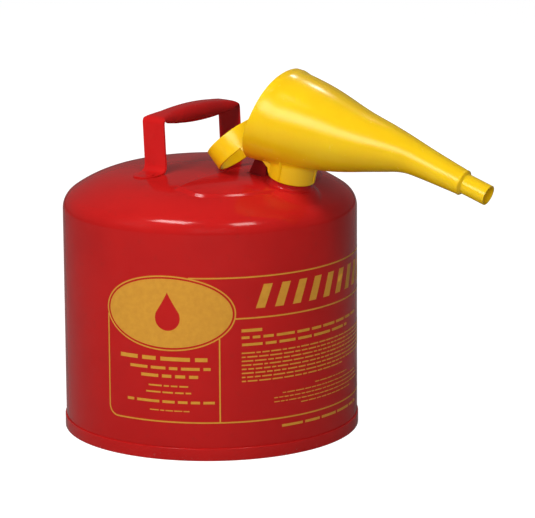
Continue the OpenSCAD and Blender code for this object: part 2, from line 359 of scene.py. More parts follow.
def moulded_plastic():
    """Glossy yellow polyethylene, a little translucent, with a fine moulded grain."""
    look = Surface(
        "yellow_polyethylene", ior=1.5, specular_ior_level=0.5,
        subsurface_weight=0.12, subsurface_radius=(0.004, 0.0018, 0.0004), subsurface_scale=1.0,
    )
    tone = look.between(look.noise(40, 3), 0.3, 0.7)
    plastic = look.mix(tone, (0.96, 0.60, 0.006), (0.93, 0.555, 0.004))
    flow = look.between(look.noise(8, 4, 0.6, (1, 1, 0.25)), 0.5, 0.8, 0, 0.16)
    look.tint(flow, plastic, (0.86, 0.47, 0.004))
    look.set("Roughness", look.between(look.noise(12, 5, 0.65), 0.3, 0.75, 0.2, 0.29))
    look.bump((look.noise(18, 2), 0.10), (look.noise(0.9, 2), 0.006))
    return look.material


def label_ink():
    """Screen-printed gold ink, a little uneven, with the screen's weave just showing."""
    look = Surface("gold_ink", ior=1.45, specular_ior_level=0.3)
    tone = look.between(look.noise(6, 5, 0.6), 0.35, 0.7)
    ink = look.mix(tone, (0.66, 0.315, 0.035), (0.60, 0.27, 0.03))
    thin = look.between(look.noise(2.5, 4, 0.7), 0.6, 0.8, 0, 0.25)
    look.tint(thin, ink, (0.5, 0.17, 0.02))
    look.gloss(0.38, 0.5, 3, 3)
    look.bump((look.noise(1.6, 3), 0.01))
    return look.material


def zinc_plate():
    """Bright zinc plating with a soft spangle and fine drawn lines."""
    look = Surface("zinc_plate", metallic=1.0)
    spangle = look.between(look.cells(4), 0.0, 0.8)
    look.tint(spangle, (0.62, 0.63, 0.64), (0.44, 0.46, 0.50))
    look.gloss(0.28, 0.45, 3, 5, 0.6)
    look.bump((look.noise(0.6, 3, 0.5, (1, 1, 6)), 0.01))
    return look.material


def woven_screen():
    """Fine woven wire: bands both ways, with the holes painted near black as shade."""
    look = Surface("woven_screen", metallic=1.0)
    weave = look.math("MULTIPLY", look.wave(1.4, "Z"), look.wave(1.4, "DIAGONAL"))
    wires = look.between(weave, 0.08, 0.3)
    # The holes take a near-black colour: painted shade for the dark inside seen through them.
    look.tint(wires, (0.015, 0.015, 0.016), (0.55, 0.54, 0.5))
    look.gloss(0.32, 0.48, 2, 3)
    look.bump((wires, 0.25))
    return look.material


def spring_steel():
    """Drawn, oil-tempered wire."""
    look = Surface("spring_steel", metallic=1.0)
    tone = look.between(look.noise(1.5, 4), 0.3, 0.7)
    look.tint(tone, (0.34, 0.34, 0.36), (0.22, 0.21, 0.2))
    look.gloss(0.22, 0.36, 0.8, 3)
    look.bump((look.noise(0.3, 2), 0.006))
    return look.material


def gasket_rubber():
    """Black fuel-proof rubber, matt with a little bloom."""
    look = Surface("gasket_rubber", ior=1.5, specular_ior_level=0.3)
    bloom = look.between(look.noise(5, 5, 0.6), 0.5, 0.8)
    look.tint(bloom, (0.012, 0.012, 0.013), (0.05, 0.05, 0.05))
    look.gloss(0.55, 0.75, 2, 4)
    look.bump((look.noise(0.5, 3), 0.02))
    return look.material


RED = enamel("red_enamel", (0.50, 0.0105, 0.0095), (0.455, 0.009, 0.0085), 0.10)
HANDLE_RED = enamel("handle_enamel", (0.62, 0.011, 0.0105), (0.55, 0.009, 0.009), 0.2)
# The bracket, the lid and its arm share the can's red enamel made darker: painted shade for their
# place under the funnel.
SHADED_RED = enamel("bracket_enamel_painted_shade", (0.24, 0.007, 0.008), (0.18, 0.006, 0.007), 0.3)
YELLOW = moulded_plastic()
GOLD = label_ink()
ZINC = zinc_plate()
SCREEN = woven_screen()
SPRING = spring_steel()
RUBBER = gasket_rubber()

# ---- tank

KNUCKLE_C = Vector((TANK_R - KNUCKLE_R, WALL_TOP))
SHOULDER_C = KNUCKLE_C - (SHOULDER_R - KNUCKLE_R) * Vector(
    (math.cos(KNUCKLE_END), math.sin(KNUCKLE_END)))
CROWN_R = (SHOULDER_C.x + SHOULDER_R * math.cos(SHOULDER_END)) / math.cos(SHOULDER_END)
CROWN_Z = SHOULDER_C.y + (SHOULDER_R - CROWN_R) * math.sin(SHOULDER_END)

# A pad with a straight back and sides and an arc for its front is stamped up out of the dome
# under the neck. Round the neck it turns into a level boss, BOSS_UP from the neck's origin.
PAD_LIFT = 3.0
PAD_BACK = 40.0
PAD_SIDE = 97.0
PAD_FRONT = 119.3
PAD_CORNER = 6.0
PAD_EDGE = 2.6
PAD_FADE = 132.0, 150.0  # none of it is left on the shoulder
BOSS_UP = 3.0
BOSS_R = 24.0
BOSS_BLEND = 10.0
FOOT_RISE = 3.4  # from the seam's top to where the wall has its full radius


def eased(value, low, high):
    """0 below low, 1 above high and smooth between."""
    t = np.clip((value - low) / (high - low), 0, 1)
    return t * t * (3 - 2 * t)


def dome_height(rho):
    """Height of the plain dome at a distance from the axis."""
    crown = CROWN_Z + np.sqrt(CROWN_R**2 - rho**2)
    shoulder = SHOULDER_C.y + np.sqrt(np.maximum(SHOULDER_R**2 - (rho - SHOULDER_C.x) ** 2, 0))
    return np.where(rho < CROWN_R * math.cos(SHOULDER_END), crown, shoulder)


def pad_lift(x, y):
    """How far the stamped pad raises the dome."""
    rho = np.hypot(x, y)
    front = rho - PAD_FRONT
    side = np.abs(y) - PAD_SIDE
    edge = np.maximum(front, side)
    edge = edge + np.maximum(0, PAD_CORNER - np.abs(front - side)) ** 2 / (4 * PAD_CORNER)
    ramp = np.clip(0.5 - edge / PAD_EDGE, 0, 1)
    step = 0.7 * ramp + 0.3 * eased(ramp, 0, 1)
    pad = 0.9 * step + 0.1 * (1 - eased(edge, 2, 22))
    pad = pad * eased(x, PAD_BACK - 3, PAD_BACK + 2) * (1 - eased(rho, *PAD_FADE))
    return PAD_LIFT * pad


def with_boss(x, y, z):
    """The dome's height with the boss that the neck stands on."""
    dx = x - NECK_X
    flat = NECK_Z + (BOSS_UP - dx * math.sin(NECK_TILT)) / math.cos(NECK_TILT)
    return z + (flat - z) * (1 - eased(np.hypot(dx, y), BOSS_R, BOSS_R + BOSS_BLEND))


def tank_outline():
    """(radius, height) from the wall's foot to near the apex, without pad and boss."""
    foot, wall_steps = SEAM_TOP, 10
    insets = ((0.4, -1.5), (0.4, 0.4), (0.25, 1.4), (0.05, 2.4), (0, FOOT_RISE))
    points = [(TANK_R - inset, foot + up) for inset, up in insets]
    points += [(TANK_R, foot + FOOT_RISE + (WALL_TOP - foot - FOOT_RISE) * i / wall_steps)
               for i in range(1, wall_steps + 1)]
    points += arc(KNUCKLE_C, KNUCKLE_R, 0, math.degrees(KNUCKLE_END), 18)[1:]
    low, high = math.degrees(KNUCKLE_END), math.degrees(SHOULDER_END)
    for first, last, steps in ((low, 67, 12), (67, 72.5, 34), (72.5, high, 16)):
        points += arc(SHOULDER_C, SHOULDER_R, first, last, steps)[1:]
    points += arc((0, CROWN_Z), CROWN_R, high, 90, 70)[1:-1]
    return points


def make_tank():
    """The drawn wall and dome in one sheet, with a hole for the neck."""
    around = 440
    angles = np.linspace(0, TURN, around, endpoint=False)
    cos, sin = np.cos(angles), np.sin(angles)
    rows = []
    for radius, z in tank_outline():
        x, y = radius * cos, radius * sin
        height = with_boss(x, y, z + pad_lift(x, y)) if z > WALL_TOP else 0 * x + z
        rows.append(list(zip(x, y, height)))
    points = [p for row in rows for p in row] + [(0, 0, CROWN_Z + CROWN_R)]
    faces = grid_faces(len(rows), around)
    last, apex = (len(rows) - 1) * around, len(points) - 1
    faces += [(last + j, last + (j + 1) % around, apex) for j in range(around)]
    tank = make_object("tank", points, faces)
    changed(tank, "SOLIDIFY", thickness=SHEET * MM, offset=-1.0, use_even_offset=True)
    face_outwards(tank)
    hole_r = NECK_R - 0.4
    cut(tank, lathe("neck_hole", [(0, -30), (hole_r, -30), (hole_r, 30), (0, 30)], NECK_FRAME))
    finish_piece(crisp(tank, 30), "can", RED, "tank_red", "body_shell")


def make_foot():
    """The double seam that joins the wall to the recessed bottom pan."""
    outer, inner, top = SEAM_R, TANK_R - SHEET - 0.4, SEAM_TOP + 0.6
    seam = rounded([(outer, 0), (outer, top), (inner, top), (inner, 0)], 1.5)
    seam_piece = lathe("foot_seam", seam, steps=256)
    rise = 9.0  # of the recessed panel over the floor
    panel = [(inner + 0.2, 0.4)] + arc((inner - 4, rise - 4), 4 - SHEET, 0, 90, 5)
    panel += [(110, rise - SHEET), (104, rise + 1.3), (0.01, rise + 3.3)]
    panel += [(0.01, rise + 4), (104.4, rise + 2), (110.4, rise)]
    panel += arc((inner - 4, rise - 4), 4, 90, 0, 5) + [(inner + 0.9, 0.4)]
    pan = lathe("bottom_panel", panel, steps=256)
    for piece in (seam_piece, pan):
        finish_piece(crisp(piece, 50), "can", RED, "tank_red", "bottom_pan")


# ---- handle

STRAP = 1.6
HANDLE_X = -22.0
HANDLE_HALF = 15.0
HANDLE_SPAN = 61.5
HANDLE_TOP = 347.3
HANDLE_SKEW = 0.022
HANDLE_LEAN = math.tan(math.radians(3))
HANDLE_FOOT = 280.0
FOOT_TURN = 8.0
BEND_R = 320.0
CORNER_R = 8.0
GRIP_DEPTH = 15.4
GRIP_SAG_R = 300.0
GRIP_ROLL = 10.0
FOOT_LEN = 27.0


def strap_path():
    """(y, z, y of the outward normal, z of it, half width, grip depth) along half of the strap."""
    mid, turn, path = STRAP / 2, FOOT_TURN, []
    corner_y = HANDLE_SPAN - CORNER_R

    def skirt(y, z):
        """How far the grip's rolled edge hangs below the strap."""
        low = HANDLE_TOP - GRIP_DEPTH + GRIP_SAG_R - math.sqrt(GRIP_SAG_R**2 - y * y)
        return max(0.0, z - low) * float(1 - eased(y, corner_y + 3, corner_y + 7.2))

    def bend(centre_y, centre_z, radius, a):
        """Adds the point at angle a of a bend to the path."""
        y, z = centre_y + radius * math.cos(a), centre_z + radius * math.sin(a)
        path.append((y, z, math.cos(a), math.sin(a), HANDLE_HALF, skirt(y, z)))

    for i in range(15):
        t = 1 - i / 14
        y = HANDLE_SPAN + turn - mid + (FOOT_LEN - turn) * t
        over = max(0.0, (y - HANDLE_SPAN - FOOT_LEN + HANDLE_HALF) / HANDLE_HALF)
        half = max(0.6, HANDLE_HALF * math.sqrt(max(0.0, 1 - over**2)))
        slope = math.asin(y / CROWN_R)
        z = float(dome_height(math.hypot(HANDLE_X, y))) + mid + 0.1
        path.append((y, z, math.sin(slope), math.cos(slope), half, 0.0))
    y0, z0 = HANDLE_SPAN - mid + turn, path[-1][1] + turn
    for i in range(1, 9):
        a = math.radians(90 * i / 8)
        path.append((y0 - turn * math.sin(a), z0 - turn * math.cos(a),
                     math.sin(a), math.cos(a), HANDLE_HALF, 0.0))
    corner_z = HANDLE_TOP - BEND_R + math.sqrt((BEND_R - CORNER_R) ** 2 - corner_y**2)
    for i in range(1, 10):
        z = z0 + (corner_z - z0) * i / 10
        path.append((HANDLE_SPAN - mid, z, 1, 0, HANDLE_HALF, 0.0))
    end = math.atan2(corner_z - HANDLE_TOP + BEND_R, corner_y)
    for i in range(13):
        bend(corner_y, corner_z, CORNER_R - mid, end * i / 12)
    for i in range(1, 37):
        bend(0, HANDLE_TOP - BEND_R, BEND_R - mid, end + (math.pi / 2 - end) * i / 36)
    return path


def strap_section(half, depth):
    """(across, inward) points over the strap's width: flat on the legs, rolled down in the grip."""
    roll = min(depth, GRIP_ROLL)
    flat = half - roll
    side = [(flat * i / 5, 0.0) for i in range(5)]
    for i in range(9):
        a = math.radians(90 * i / 8)
        side.append((flat + roll * math.sin(a), roll * (1 - math.cos(a))))
    curl = min(1.0, depth / GRIP_DEPTH)
    for i in range(1, 5):
        side.append((half - 0.35 * curl * i * i / 4, roll + (depth - roll + 0.02) * i / 4))
    camber = [(x, d + 0.5 * (x / half) ** 2) for x, d in side]
    return [(-x, d) for x, d in camber[:0:-1]] + camber


def edges_of(points, width):
    """The two edges of a strip of even width along a line in its plane."""
    sides = []
    for i in range(len(points)):
        ahead = direction_at(points, i)
        sides.append(Vector((-ahead.y, ahead.x)) * width / 2)
    return [p + n for p, n in zip(points, sides)], [p - n for p, n in zip(points, sides)], sides


def thick_line(line, thickness):
    """A closed outline round a line in its plane, with round ends."""
    points = [Vector(p) for p in line]
    first, second, sides = edges_of(points, thickness)

    def end(p, n):
        a = [math.pi * k / 4 for k in range(1, 4)]
        return [p + n * math.cos(t) + Vector((n.y, -n.x)) * math.sin(t) for t in a]

    return first + end(points[-1], sides[-1]) + second[::-1] + end(points[0], -sides[0])


def make_handle():
    """One strap from foot to foot, with its grip rolled down and its feet spot-welded.

    The roll hangs straight down from the strap, which stands a little askew.
    """
    half_path = strap_path()
    path = [(-y, z, -ny, nz, h, d) for y, z, ny, nz, h, d in half_path[:-1]] + half_path[::-1]
    rows = []
    for y, z, ny, nz, half, depth in path:
        row = []
        for across, inward in thick_line(strap_section(half, depth), STRAP):
            near = min(inward, STRAP)
            up = z - nz * near - max(0.0, inward - STRAP)
            above = max(0.0, up - HANDLE_FOOT)
            up += HANDLE_SKEW * y * above / (HANDLE_TOP - HANDLE_FOOT)
            row.append((HANDLE_X + across - HANDLE_LEAN * above, y - ny * near, up))
        rows.append(row)
    handle = crisp(grid_object("handle_strap", rows), 60)
    pieces = [finish_piece(handle, "can", HANDLE_RED, "handle_red", "handle")]
    dimple = [(0, -0.5), (3.6, -0.5), (3.6, 0.1), (3.0, 0.42), (2.3, 0.42), (1.7, 0.05), (0, -0.1)]
    for label, side, dx in (("a1", -1, -7), ("a2", -1, 7), ("b1", 1, -7), ("b2", 1, 7)):
        x, y = HANDLE_X + dx, side * (HANDLE_SPAN + 15)
        z = float(dome_height(math.hypot(x, y))) + STRAP
        slope = math.asin(abs(y) / CROWN_R) * -side
        place = Matrix.Translation((x, y, z)) @ Matrix.Rotation(slope, 4, "X")
        weld = crisp(lathe("handle_weld_" + label, dimple, place, steps=32), 60)
        pieces.append(finish_piece(weld, "can", HANDLE_RED, "handle_red"))
    return pieces


# ---- neck and hinge bracket


def make_neck():
    """The spout neck: a fillet out of the dome, a bead, and a lip rolled outwards."""
    top, foot, bore = 33.0, BOSS_UP, NECK_R - 0.8
    fillet, bead, lip = 4.2, 1.0, 1.2
    outline = [(bore, -7), (NECK_R + 3, foot - 4), (NECK_R + 4.4, foot - 0.4)]
    outline += arc((NECK_R + fillet, foot + fillet), fillet, -90, -180, 8)
    outline += arc((NECK_R, 8.2), bead, -90, 90, 8)
    outline += [(NECK_R, 10), (NECK_R, top - 1.6)]
    outline += arc((NECK_R, top), lip, -90, 180, 14) + [(bore, top - 1)]
    neck = crisp(lathe("neck", outline, NECK_FRAME, steps=160), 50)
    finish_piece(neck, "can", RED, "tank_red", "spout_neck")


def make_bracket():
    """A U bent from sheet, welded on the pad behind the neck, with an ear on each side."""
    x, z, sheet, pin_r = HINGE.x, HINGE.z, 1.4, 2.05
    ear = [(x - 14, -1), (x + 8.5, 1), (x + 6.6, z - 8)]
    ear += arc((x, z), 5.5, 0, 180, 14) + [(x - 7.6, z - 8)]
    plates = []
    for low in (-9.4, 8.0):
        plate = extruded("ear", ear, low, low + sheet, NECK_FRAME)
        hole = extruded("hole", arc((x, z), pin_r, 0, 345, 23), -20, 20, NECK_FRAME)
        plates.append(cut(plate, hole))
    base = rounded([(-50, -4.5), (-27.5, -2.4), (-27.5, 2.6), (-50, -0.5)], 0.6, 2)
    plates.append(extruded("base", base, -13, 13, NECK_FRAME))
    bracket = softened(joined("hinge_bracket_plates", *plates), 0.25, 50)
    # The bracket takes the darker red, which is painted shade.
    finish_piece(bracket, "can", SHADED_RED, "bracket_red", "hinge_bracket")


# ---- lid spring


def make_spring():
    """The torsion spring: close coils on the pin, one leg up the lever, one on the bracket."""
    wire, coil, turns = 0.8, 4.4, 5.5
    half = turns * wire
    points = [Vector((-4, -half, coil + 11)), Vector((-1, -half, coil + 4))]
    steps = int(turns * 28)
    for i in range(steps + 1):
        a = math.radians(100) + TURN * turns * i / steps
        y = -half + 2 * half * i / steps
        points.append(Vector((coil * math.cos(a), y, coil * math.sin(a))))
    points += [Vector((coil, half, -4.5)), Vector((coil, half, -11.5))]
    rows = []
    for i, here in enumerate(points):
        ahead = direction_at(points, i)
        side = ahead.cross(Vector((0, 1, 0.01))).normalized()
        up = side.cross(ahead)
        rows.append([here + HINGE + wire * (math.cos(a) * side + math.sin(a) * up)
                     for a in turn_steps(12)])
    spring = crisp(grid_object("lid_torsion_spring", rows, NECK_FRAME), 60)
    finish_piece(spring, "lid", SPRING, "spring_steel", "lid_spring")


# ---- funnel

THROAT = Vector((126.7, 0, 81.2))
MOUTH = Vector((-34.6, 0, 74.2))
THROAT_R = 18.0
FLARE = math.radians(15.2)
FLARE_LEN = 70.0
BELL_R = 440.0
NOZZLE_LEN = 71.0
NOZZLE_R = 13.2
TIP_R = 10.7
TIP_LEN = 28.8
RIM_BEAD = 1.0
RIM_FLARE = 1.6
FUNNEL_WALL = 2.0
TIP_WALL = 1.6
BEND = 14.0  # half the length over which the cone's line turns into the nozzle's
SAG, SAG_AT, SAG_REACH = 1.8, -62.0, 34.0  # how far, where and over what length the cone sags
SWELL, SWELL_AT, SWELL_REACH = 1.2, -12.0, 28.0  # the same for how it swells at the throat
COLLAR_R = 25.0
COLLAR_BORE = 21.9
COLLAR_LOW = 10.3
SLOT_HALF = 20.0
GAP_HALF = 13.0
RIM_DIP = 24
HOOP_R = 33.8
HOOP_WALL = 2.4
HOOP_LEN = 22.0


def hump(s, at, reach):
    """1 at a place, falling off smoothly on both sides."""
    return math.exp(-((s - at) / reach) ** 2)


def level(dip):
    """A unit vector in the funnel's X-Z plane that dips this far below level in the row frame."""
    a = math.radians(dip) - NECK_TILT
    return Vector((math.cos(a), 0, -math.sin(a)))


CONE_AXIS = level(10)
NOZZLE_AXIS = level(20)
MOUTH_NORMAL = level(RIM_DIP)


def spine(s):
    """Centre and direction of the funnel's line, s past the throat (before it if negative)."""
    back, front = THROAT - BEND * CONE_AXIS, THROAT + BEND * NOZZLE_AXIS
    if s <= -BEND:
        return THROAT + s * CONE_AXIS, CONE_AXIS
    if s >= BEND:
        return THROAT + s * NOZZLE_AXIS, NOZZLE_AXIS
    t = (s + BEND) / (2 * BEND)
    centre = back * (1 - t) ** 2 + THROAT * 2 * t * (1 - t) + front * t * t
    return centre, (CONE_AXIS * (1 - t) + NOZZLE_AXIS * t).normalized()


def funnel_radius(s):
    """Outside radius of the funnel: a bell, a straight flare, a taper, a step and the tip."""
    taper = (THROAT_R - NOZZLE_R) / NOZZLE_LEN
    flare = math.tan(FLARE)
    swell = SWELL * hump(s, SWELL_AT, SWELL_REACH)
    if s > BEND:
        shoulder = float(eased(s, NOZZLE_LEN - 1.2, NOZZLE_LEN + 1.6))
        ridge = 0.35 * hump(s, NOZZLE_LEN - 1.6, 0.9)
        return (THROAT_R - taper * s + swell) * (1 - shoulder) + TIP_R * shoulder + ridge
    if s > -BEND:
        return THROAT_R - taper * s + (flare - taper) * (BEND - s) ** 2 / (4 * BEND) + swell
    if s > -FLARE_LEN:
        return THROAT_R - flare * s + swell
    rise = math.sin(FLARE) - (-s - FLARE_LEN) / BELL_R
    bell = BELL_R * (math.sqrt(1 - rise * rise) - math.cos(FLARE))
    return THROAT_R + FLARE_LEN * flare + bell


def funnel_point(s, angle, inset):
    """A point on the funnel's wall. Angle 0 is the top, and inset goes in from the outside."""
    centre, ahead = spine(s)
    centre = centre - Vector((0, 0, INSIDE + SAG * hump(s, SAG_AT, SAG_REACH)))
    side = Vector((0, 1, 0))
    up = ahead.cross(side).normalized()
    radius = funnel_radius(s) - inset
    return centre + radius * (math.cos(angle) * up + math.sin(angle) * side)


def mouth_station(angle):
    """Where the wall's line at this angle meets the slanting plane of the mouth."""
    low, high = -200.0, -120.0
    for _ in range(24):
        middle = (low + high) / 2
        if (funnel_point(middle, angle, 0) - MOUTH).dot(MOUTH_NORMAL) < 0:
            low = middle
        else:
            high = middle
    return high


def make_funnel_shell():
    """Cone, nozzle and tip as one moulded wall, with a slot in its floor for the lid's hinge."""
    angles = turn_steps(144)
    mouths = [mouth_station(a) for a in angles]
    cone = [1 - i / 44 for i in range(44)]
    nozzle = [i * 2.5 for i in range(26)]
    nozzle += [NOZZLE_LEN - 4 + 0.6 * i for i in range(1, 13)]
    nozzle += [NOZZLE_LEN + 3.2 + (TIP_LEN - 4) * i / 8 for i in range(1, 9)]
    nozzle.append(NOZZLE_LEN + TIP_LEN)

    def wall_row(share, s, inset):
        """A ring at a share of the way from throat to mouth, or else at s past the throat."""
        row = []
        for angle, mouth in zip(angles, mouths):
            at = mouth * share if share else s
            rim = RIM_BEAD * float(eased(share, 0.89, 0.95) * (1 - eased(share, 0.95, 1.0)))
            rim *= (1 + math.cos(angle)) / 2
            if math.cos(angle) > 0:
                rim += RIM_FLARE * float(eased(share, 0.9, 1.0)) * math.sin(2 * angle) ** 2
            row.append(funnel_point(at, angle, inset - rim))
        return row

    def lip(start_row, end_row, out):
        """Rings that close the wall's edge with a rounded bulge."""
        rows = []
        for t in (0.25, 0.5, 0.75):
            bulge = out * math.sin(math.pi * t)
            rows.append([a.lerp(b, t) + bulge for a, b in zip(start_row, end_row)])
        return rows

    outer = [wall_row(share, 0, 0) for share in cone] + [wall_row(0, s, 0) for s in nozzle]
    inner = [wall_row(share, 0, FUNNEL_WALL) for share in cone]
    for s in nozzle:
        inset = FUNNEL_WALL + (TIP_WALL - FUNNEL_WALL) * float(eased(s, NOZZLE_LEN - 8, NOZZLE_LEN))
        extra = max(0.0, funnel_radius(s) - TIP_R) * float(eased(s, NOZZLE_LEN - 6, NOZZLE_LEN - 1))
        inner.append(wall_row(0, s, inset + extra))
    rows = outer + lip(outer[-1], inner[-1], 0.25 * NOZZLE_AXIS) + inner[::-1]
    rows += lip(inner[0], outer[0], -0.5 * MOUTH_NORMAL)
    shell = grid_object("funnel_shell", rows, FUNNEL_FRAME, wrap_rows=True)
    ceiling = 52  # the cutters end here, inside the cone's room
    outline = rounded([(-120, -SLOT_HALF), (-COLLAR_R, -SLOT_HALF), (-COLLAR_R, SLOT_HALF),
                       (-120, SLOT_HALF)], 7, 6)
    slot = [[(x, y, z) for x, y in outline] for z in (-10, ceiling)]
    slot = grid_object("slot", slot, FUNNEL_FRAME)
    gap = box_object("gap", (-COLLAR_R - 6, -GAP_HALF, 0), (-5, GAP_HALF, ceiling), FUNNEL_FRAME)
    wide = 23.3  # the bore's radius above the neck's rolled lip
    bore = [(0, 0), (COLLAR_BORE, 0), (COLLAR_BORE, 29), (wide, 30), (wide, ceiling), (0, ceiling)]
    cut(shell, slot, gap, lathe("bore", bore, FUNNEL_FRAME))
    softened(shell, 0.4, 45)
    return finish_piece(shell, "funnel", YELLOW, "funnel_yellow", "funnel_cone", "funnel_nozzle")


def floor_height(x, y):
    """Height of the cone's underside over a point of the collar, in the funnel's frame."""
    s = (Vector((x, 0, THROAT.z)) - THROAT).dot(CONE_AXIS)
    axis_z = THROAT.z + (x - THROAT.x) * CONE_AXIS.z / CONE_AXIS.x
    return axis_z - math.sqrt(max(funnel_radius(s) ** 2 - y**2, 0))


def make_collar():
    """The collar that clips round the neck. It flares into the cone's floor, with ribs outside."""
    half_gap = math.asin(GAP_HALF / COLLAR_R)
    start, sweep = half_gap - math.pi, TURN - 2 * half_gap
    steps, low = 112, COLLAR_LOW
    rows = []
    for i in range(steps + 1):
        a = start + sweep * i / steps
        c, s = math.cos(a), math.sin(a)
        top = floor_height(COLLAR_R * c, COLLAR_R * s) + 0.9
        outline = [(COLLAR_BORE, top), (COLLAR_BORE, low + 0.8), (COLLAR_BORE + 0.8, low)]
        outline += [(COLLAR_R - 0.9, low), (COLLAR_R - 0.1, low + 0.8), (COLLAR_R, low + 2)]
        bend = max(3.0, min(7.0, top - low - 4))
        outline += [(COLLAR_R + 4.2 * (1 - math.cos(t)), top - bend + bend * math.sin(t))
                    for t in [math.radians(75 * k / 7) for k in range(8)]]
        outline += [(COLLAR_R + 3.4, top + 0.5)]
        rows.append([(r * c, r * s, z) for r, z in outline])
    parts = [grid_object("collar", rows, FUNNEL_FRAME)]
    for degrees, reach in ((-138, 9.5), (-93, 4.6), (5, 5.5), (70, 4.6), (130, 4.6)):
        a = math.radians(degrees)
        x, y = (COLLAR_R + 3) * math.cos(a), (COLLAR_R + 3) * math.sin(a)
        top = floor_height(x, y) + 1.0
        rib = [(COLLAR_R - 1, low + 1.6), (COLLAR_R + 0.7, low + 2.2),
               (COLLAR_R + 0.3 * reach, top - 7), (COLLAR_R + reach, top), (COLLAR_R - 1, top)]
        place = FUNNEL_FRAME @ Matrix.Rotation(a, 4, "Z")
        parts.append(softened(extruded("rib", rib, -1, 1, place), 0.45, 30))
    collar = crisp(joined("funnel_clip_collar", *parts), 40)
    return finish_piece(collar, "funnel", YELLOW, "funnel_yellow", "funnel_collar")


def make_hoop():
    """The hoop behind the mouth, with an ear on each side that runs on to the cone."""
    place = FUNNEL_FRAME @ Matrix.Translation((-60, 0, 19.5))
    place = place @ Matrix.Rotation(-math.radians(53.5), 4, "Y")

    def section(low, high):
        inner = HOOP_R - HOOP_WALL
        return [(inner, low), (HOOP_R, low), (HOOP_R, high), (inner, high)]

    parts = [lathe("hoop", rounded(section(0, HOOP_LEN), 0.8), place)]
    for start in (44, -60):
        ear = lathe("ear", section(-19, 1.5), place, math.radians(start), math.radians(16), 12)
        parts.append(softened(cut(ear, inner_space(), operation="INTERSECT"), 0.4, 45))
    hoop = crisp(joined("funnel_hoop_ring", *parts), 40)
    hoop.visible_glossy = False  # the dome's gloss does not mirror it
    return finish_piece(hoop, "funnel", YELLOW, "funnel_yellow", "funnel_hoop")


def inner_space():
    """The room inside the cone and behind its mouth, where the hoop's ears run."""
    inset = FUNNEL_WALL * 0.6
    rows = [[funnel_point(s, a, inset) for a in turn_steps(72)] for s in range(-175, -29, 5)]
    space = grid_object("space", rows, FUNNEL_FRAME)
    place = FUNNEL_FRAME @ Matrix.Translation(MOUTH)
    place = place @ Matrix.Rotation(math.radians(RIM_DIP) - NECK_TILT, 4, "Y")
    behind = box_object("behind", (-120, -100, -100), (0, 100, 100), place)
    return cut(space, behind, operation="UNION")


# ---- label

# The label is laid out on the unrolled wall: along it in millimetres from the line that faces
# azimuth LABEL_ZERO, and up from the floor. It has no lettering: bars stand in for print.
LABEL_ZERO = math.radians(-48)
INK = 0.12
PANEL_LEFT, PANEL_RIGHT = -117.0, 284.0
PANEL_LOW, PANEL_HIGH = 41.0, 195.0
TITLE_LOW = 151.5
DIVIDER = 8.5
OVAL_C = (-46.0, 157.0)
OVAL_W, OVAL_H = 72.0, 40.0
LINE = 1.5


def on_wall(along, up, proud):
    """A point of the unrolled label, put back on the round wall."""
    angle = LABEL_ZERO + along / TANK_R
    r = TANK_R + proud
    return (r * math.cos(angle), r * math.sin(angle), up)


def printed(name, strips):
    """Ink on the wall. Each strip is two equally long lists of label points, its edges."""
    points, faces = [], []
    for left, right in strips:
        base = len(points)
        count = len(left)
        for proud in (-0.1, INK):
            for edge in (left, right):
                points += [on_wall(a, u, proud) for a, u in edge]
        for k in range(count - 1):
            a, b, c, d = (base + n * count + k for n in range(4))
            faces += [(c, c + 1, d + 1, d), (a, b, b + 1, a + 1)]
            faces += [(a, a + 1, c + 1, c), (b, d, d + 1, b + 1)]
        if left[0] != left[-1]:
            for k in (0, count - 1):
                a, b, c, d = (base + n * count + k for n in range(4))
                faces.append((a, c, d, b))
    obj = face_outwards(make_object(name, points, faces), merge=1e-7)
    finish_piece(crisp(obj, 30), "can", GOLD, "label_gold")


def ribbon(points, width):
    """A strip of even width along a line of label points, cut fine enough to follow the wall."""
    fine = [Vector(points[0])]
    for here, there in zip(points, points[1:]):
        here, there = Vector(here), Vector(there)
        pieces = max(1, math.ceil((there - here).length / 5))
        fine += [here.lerp(there, k / pieces) for k in range(1, pieces + 1)]
    left, right, _ = edges_of(fine, width)
    return left, right


def ellipse(half_w, half_h):
    """A closed line round the label's oval."""
    points = [(OVAL_C[0] + half_w * math.cos(a), OVAL_C[1] + half_h * math.sin(a))
              for a in turn_steps(120)]
    return points + points[:1]


DROP_R, DROP_TIP, DROP_LOW = 13.5, 27.5, 5.0


def drop_heights(x):
    """Lowest and highest edge of the liquid drop: round below, drawn up to a point."""
    joint = DROP_R * math.sqrt(1 - (DROP_R / DROP_TIP) ** 2)
    side = top = math.sqrt(max(0.0, DROP_R**2 - x * x))
    if abs(x) < joint:
        top = DROP_TIP - (DROP_TIP - DROP_R**2 / DROP_TIP) * (abs(x) / joint) ** 0.88
    return OVAL_C[1] - DROP_LOW - side, OVAL_C[1] - DROP_LOW + top


def oval_rise(x, half_w=OVAL_W, half_h=OVAL_H):
    """Half the height of the label's oval, x to the right of its middle."""
    return half_h * math.sqrt(max(0.0, 1 - (x / half_w) ** 2))


def make_badge():
    """A plain gold oval with a thin ring round it and a drop left bare in its middle."""
    half_w, half_h = OVAL_W - 3.6, OVAL_H - 3.4

    def columns(first, last, count, edges, crowding=1):
        """A strip between two edges. Crowding 2 gathers its columns towards the first."""
        places = [first + (last - first) * (k / count) ** crowding for k in range(count + 1)]
        return [[(OVAL_C[0] + x, edges(x)[side]) for x in places] for side in (0, 1)]

    def oval(x):
        rise = oval_rise(x, half_w, half_h)
        return OVAL_C[1] + rise, OVAL_C[1] - rise

    printed("label_badge", [
        columns(-half_w + 0.05, -DROP_R, 30, oval, 2), columns(half_w - 0.05, DROP_R, 30, oval, 2),
        columns(-DROP_R, DROP_R, 54, lambda x: (oval(x)[0], drop_heights(x)[1])),
        columns(-DROP_R, DROP_R, 54, lambda x: (drop_heights(x)[0], oval(x)[1])),
        (ellipse(OVAL_W, OVAL_H), ellipse(OVAL_W - LINE, OVAL_H - LINE)),
    ])


